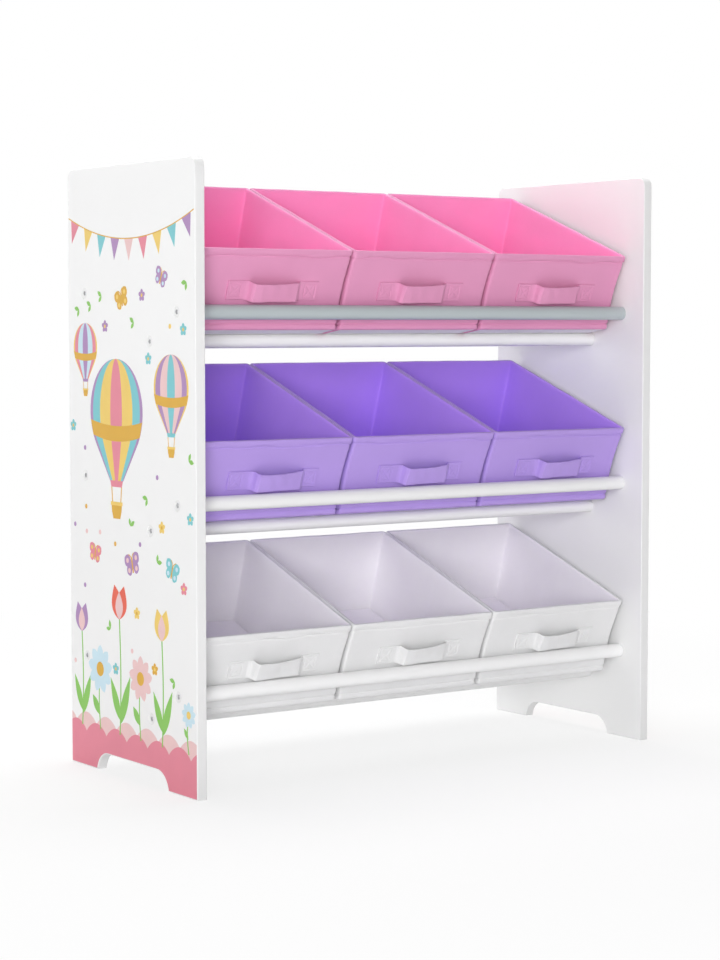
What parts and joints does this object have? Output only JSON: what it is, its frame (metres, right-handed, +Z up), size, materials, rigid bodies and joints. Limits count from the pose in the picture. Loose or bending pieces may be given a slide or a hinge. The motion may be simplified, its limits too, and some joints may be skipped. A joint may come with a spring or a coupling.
{
  "type": "toy bin rack",
  "caption": "Free-standing toy rack: side panels joined by dowel rods in tiers, carrying tilted lift-out fabric bins with strap handles.",
  "frame": {"origin": "on the floor, under the middle of the rack", "axes": "+X to the right seen from the front, +Y to the rear, +Z up"},
  "size_m": [0.63, 0.276, 0.67],
  "materials": {
    "panel_paint": "white satin paint on board",
    "rod_paint": "white satin paint on dowel",
    "screw_paint": "white painted steel",
    "pink_fabric": "non-woven fabric, pink",
    "purple_fabric": "non-woven fabric, purple",
    "white_fabric": "non-woven fabric, white",
    "board": "grey board, unfinished"
  },
  "bodies": {
    "rack": {"side_panel_left": "panel_paint", "side_panel_right": "panel_paint", "rod_screws_left": "screw_paint", "rod_screws_right": "screw_paint", "front_rod_bottom": "rod_paint", "support_rod_bottom": "rod_paint", "rear_rod_bottom": "rod_paint", "front_rod_middle": "rod_paint", "support_rod_middle": "rod_paint", "rear_rod_middle": "rod_paint", "front_rod_top": "rod_paint", "support_rod_top": "rod_paint", "rear_rod_top": "rod_paint"},
    "bin_bottom_left": {"bin_bottom_left_shell": "white_fabric", "bin_bottom_left_boards": "board", "bin_bottom_left_base": "white_fabric", "bin_bottom_left_binding": "white_fabric", "bin_bottom_left_handle": "white_fabric"},
    "bin_bottom_centre": {"bin_bottom_centre_shell": "white_fabric", "bin_bottom_centre_boards": "board", "bin_bottom_centre_base": "white_fabric", "bin_bottom_centre_binding": "white_fabric", "bin_bottom_centre_handle": "white_fabric"},
    "bin_bottom_right": {"bin_bottom_right_shell": "white_fabric", "bin_bottom_right_boards": "board", "bin_bottom_right_base": "white_fabric", "bin_bottom_right_binding": "white_fabric", "bin_bottom_right_handle": "white_fabric"},
    "bin_middle_left": {"bin_middle_left_shell": "purple_fabric", "bin_middle_left_boards": "board", "bin_middle_left_base": "purple_fabric", "bin_middle_left_binding": "purple_fabric", "bin_middle_left_handle": "purple_fabric"},
    "bin_middle_centre": {"bin_middle_centre_shell": "purple_fabric", "bin_middle_centre_boards": "board", "bin_middle_centre_base": "purple_fabric", "bin_middle_centre_binding": "purple_fabric", "bin_middle_centre_handle": "purple_fabric"},
    "bin_middle_right": {"bin_middle_right_shell": "purple_fabric", "bin_middle_right_boards": "board", "bin_middle_right_base": "purple_fabric", "bin_middle_right_binding": "purple_fabric", "bin_middle_right_handle": "purple_fabric"},
    "bin_top_left": {"bin_top_left_shell": "pink_fabric", "bin_top_left_boards": "board", "bin_top_left_base": "pink_fabric", "bin_top_left_binding": "pink_fabric", "bin_top_left_handle": "pink_fabric"},
    "bin_top_centre": {"bin_top_centre_shell": "pink_fabric", "bin_top_centre_boards": "board", "bin_top_centre_base": "pink_fabric", "bin_top_centre_binding": "pink_fabric", "bin_top_centre_handle": "pink_fabric"},
    "bin_top_right": {"bin_top_right_shell": "pink_fabric", "bin_top_right_boards": "board", "bin_top_right_base": "pink_fabric", "bin_top_right_binding": "pink_fabric", "bin_top_right_handle": "pink_fabric"}
  },
  "joints": [
    {"name": "bin_bottom_left_lift", "type": "slide", "parent": "rack", "child": "bin_bottom_left", "axis": [0, -0.342, 0.9397], "range_m": [0, 0.06]},
    {"name": "bin_bottom_centre_lift", "type": "slide", "parent": "rack", "child": "bin_bottom_centre", "axis": [0, -0.342, 0.9397], "range_m": [0, 0.06]},
    {"name": "bin_bottom_right_lift", "type": "slide", "parent": "rack", "child": "bin_bottom_right", "axis": [0, -0.342, 0.9397], "range_m": [0, 0.06]},
    {"name": "bin_middle_left_lift", "type": "slide", "parent": "rack", "child": "bin_middle_left", "axis": [0, -0.342, 0.9397], "range_m": [0, 0.06]},
    {"name": "bin_middle_centre_lift", "type": "slide", "parent": "rack", "child": "bin_middle_centre", "axis": [0, -0.342, 0.9397], "range_m": [0, 0.06]},
    {"name": "bin_middle_right_lift", "type": "slide", "parent": "rack", "child": "bin_middle_right", "axis": [0, -0.342, 0.9397], "range_m": [0, 0.06]},
    {"name": "bin_top_left_lift", "type": "slide", "parent": "rack", "child": "bin_top_left", "axis": [0, -0.342, 0.9397], "range_m": [0, 0.2]},
    {"name": "bin_top_centre_lift", "type": "slide", "parent": "rack", "child": "bin_top_centre", "axis": [0, -0.342, 0.9397], "range_m": [0, 0.2]},
    {"name": "bin_top_right_lift", "type": "slide", "parent": "rack", "child": "bin_top_right", "axis": [0, -0.342, 0.9397], "range_m": [0, 0.2]}
  ]
}
